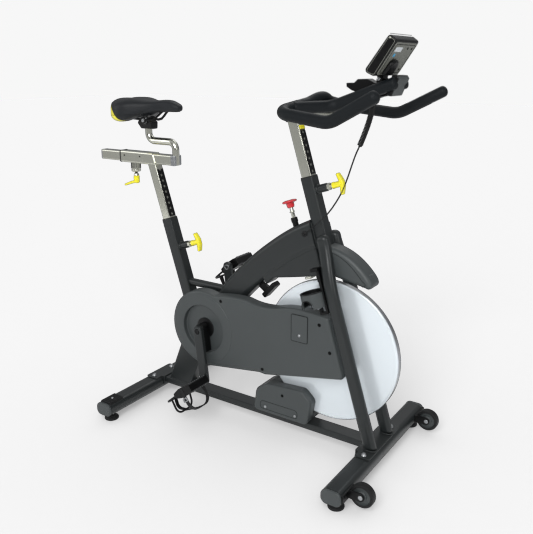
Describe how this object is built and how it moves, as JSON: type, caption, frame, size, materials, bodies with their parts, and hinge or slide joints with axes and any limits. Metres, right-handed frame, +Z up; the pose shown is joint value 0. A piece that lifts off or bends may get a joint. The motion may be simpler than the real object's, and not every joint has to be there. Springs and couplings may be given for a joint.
{
  "type": "indoor exercise bike",
  "caption": "Indoor exercise bike: leaning frame on cross feet, belt-driven flywheel, cranks with toe-cage pedals, adjustable saddle and handlebar, tilting console.",
  "frame": {"origin": "on the floor, under the middle of the bike's length and width", "axes": "+X to the front of the bike, +Y to the rider's left, +Z up"},
  "size_m": [1.194, 0.5966, 1.2269],
  "materials": {
    "paint": "satin charcoal paint",
    "plastic": "fine-grained charcoal moulding",
    "black": "black moulding",
    "chrome": "polished",
    "steel": "machined",
    "yellow": "gloss",
    "red": "gloss",
    "foam": "closed-cell foam",
    "flywheel": "silver gloss paint",
    "rubber": "matte",
    "saddle": "textured synthetic leather"
  },
  "bodies": {
    "frame": {"rear_stabiliser": "paint", "front_stabiliser": "paint", "rear_mount_plate": "paint", "front_mount_plate": "paint", "base_rail": "paint", "rear_right_end_cap": "plastic", "rear_left_end_cap": "plastic", "front_right_end_cap": "plastic", "front_left_end_cap": "plastic", "seat_tube": "paint", "head_tube": "paint", "rear_leg": "paint", "bottom_bracket_shell": "steel", "main_beam": "paint", "beam_gusset": "paint", "right_fork_leg": "paint", "left_fork_leg": "paint", "flywheel_stays": "steel", "front_cowl": "plastic", "right_belt_guard": "plastic", "left_belt_guard": "plastic", "drive_belt": "rubber", "left_magnet_cover": "plastic", "right_magnet_cover": "plastic", "brake_collar": "black", "speed_sensor": "black", "bottle_cage": "plastic", "cable_grommet": "rubber", "lead_cable": "rubber"},
    "flywheel": {"flywheel": "flywheel", "flywheel_axle": "steel", "flywheel_pulley": "steel"},
    "crank": {"drive_pulley": "steel", "crank_axle": "steel", "right_crank_arm": "paint", "left_crank_arm": "paint"},
    "right_pedal": {"right_pedal": "black"},
    "left_pedal": {"left_pedal": "black"},
    "seat_post": {"seat_post": "chrome"},
    "slider_lever": {"slider_lever": "yellow"},
    "saddle_slider": {"saddle_stem": "chrome", "saddle_clamp": "black"},
    "saddle": {"saddle_base": "black", "saddle_pad": "saddle"},
    "seat_pull_pin": {"seat_pull_pin": "yellow"},
    "handlebar_pull_pin": {"handlebar_pull_pin": "yellow"},
    "handlebar_post": {"handlebar_post": "chrome", "handlebar": "foam", "console_tray": "black", "lead_curl": "rubber"},
    "console": {"console": "black"},
    "brake_rod": {"brake_rod": "chrome"},
    "tension_knob": {"tension_knob": "red"},
    "magnet_carrier": {"magnet_carrier": "steel"},
    "right_transport_wheel": {"right_transport_wheel": "rubber"},
    "left_transport_wheel": {"left_transport_wheel": "rubber"},
    "rear_right_foot": {"rear_right_foot": "rubber"},
    "rear_left_foot": {"rear_left_foot": "rubber"},
    "front_right_foot": {"front_right_foot": "rubber"},
    "front_left_foot": {"front_left_foot": "rubber"}
  },
  "joints": [
    {"name": "flywheel_spin", "type": "hinge", "parent": "frame", "child": "flywheel", "pos_m": [0.327, 0, 0.326], "axis": [0, 1, 0], "continuous": true},
    {"name": "crank_spin", "type": "hinge", "parent": "frame", "child": "crank", "pos_m": [-0.113, 0, 0.321], "axis": [0, 1, 0], "continuous": true},
    {"name": "right_pedal_spin", "type": "hinge", "parent": "crank", "child": "right_pedal", "pos_m": [-0.09228, -0.158, 0.15227], "axis": [0, 1, 0], "continuous": true},
    {"name": "left_pedal_spin", "type": "hinge", "parent": "crank", "child": "left_pedal", "pos_m": [-0.13372, 0.158, 0.48973], "axis": [0, 1, 0], "continuous": true},
    {"name": "seat_height", "type": "slide", "parent": "frame", "child": "seat_post", "axis": [-0.3007, 0, 0.9537], "range_m": [-0.13, 0.07]},
    {"name": "saddle_setback", "type": "slide", "parent": "seat_post", "child": "saddle_slider", "axis": [1, 0, 0], "range_m": [-0.06, 0.06]},
    {"name": "saddle_tilt", "type": "hinge", "parent": "saddle_slider", "child": "saddle", "pos_m": [-0.382, 0, 0.982], "axis": [0, 1, 0], "range_deg": [-10, 10]},
    {"name": "slider_lever_turn", "type": "hinge", "parent": "seat_post", "child": "slider_lever", "pos_m": [-0.45, 0, 0.775], "axis": [0, 0, 1], "range_deg": [-90, 90]},
    {"name": "seat_pin_pull", "type": "slide", "parent": "frame", "child": "seat_pull_pin", "axis": [0.9537, 0, 0.3007], "range_m": [0, 0.012], "stiffness_N_per_m": 1500, "springref_m": -0.006},
    {"name": "handlebar_pin_pull", "type": "slide", "parent": "frame", "child": "handlebar_pull_pin", "axis": [0.9537, 0, 0.3007], "range_m": [0, 0.012], "stiffness_N_per_m": 1500, "springref_m": -0.006},
    {"name": "handlebar_height", "type": "slide", "parent": "frame", "child": "handlebar_post", "axis": [-0.3007, 0, 0.9537], "range_m": [-0.09, 0.06]},
    {"name": "console_tilt", "type": "hinge", "parent": "handlebar_post", "child": "console", "pos_m": [0.453, 0, 1.121], "axis": [0, 1, 0], "range_deg": [-15, 15]},
    {"name": "brake_press", "type": "slide", "parent": "frame", "child": "brake_rod", "axis": [0.3256, 0, -0.9455], "range_m": [0, 0.007], "stiffness_N_per_m": 3000, "springref_m": -0.003},
    {"name": "tension_turn", "type": "hinge", "parent": "brake_rod", "child": "tension_knob", "pos_m": [0.173, 0, 0.768], "axis": [0.3256, 0, -0.9455], "range_deg": [0, 720]},
    {"name": "magnet_swing", "type": "hinge", "parent": "frame", "child": "magnet_carrier", "pos_m": [0.111, 0, 0.1], "axis": [0, -1, 0], "range_deg": [0, 4]},
    {"name": "right_wheel_spin", "type": "hinge", "parent": "frame", "child": "right_transport_wheel", "pos_m": [0.563, -0.24, 0.05], "axis": [0, 1, 0], "continuous": true},
    {"name": "left_wheel_spin", "type": "hinge", "parent": "frame", "child": "left_transport_wheel", "pos_m": [0.563, 0.24, 0.05], "axis": [0, 1, 0], "continuous": true},
    {"name": "rear_right_foot_turn", "type": "hinge", "parent": "frame", "child": "rear_right_foot", "pos_m": [-0.37, -0.263, 0.012], "axis": [0, 0, 1], "continuous": true},
    {"name": "rear_left_foot_turn", "type": "hinge", "parent": "frame", "child": "rear_left_foot", "pos_m": [-0.37, 0.263, 0.012], "axis": [0, 0, 1], "continuous": true},
    {"name": "front_right_foot_turn", "type": "hinge", "parent": "frame", "child": "front_right_foot", "pos_m": [0.495, -0.263, 0.012], "axis": [0, 0, 1], "continuous": true},
    {"name": "front_left_foot_turn", "type": "hinge", "parent": "frame", "child": "front_left_foot", "pos_m": [0.495, 0.263, 0.012], "axis": [0, 0, 1], "continuous": true}
  ],
  "couplings": [
    {"joint": "crank_spin", "follows": "flywheel_spin", "ratio": 0.25455},
    {"joint": "magnet_swing", "follows": "tension_turn", "ratio": 0.005556}
  ]
}
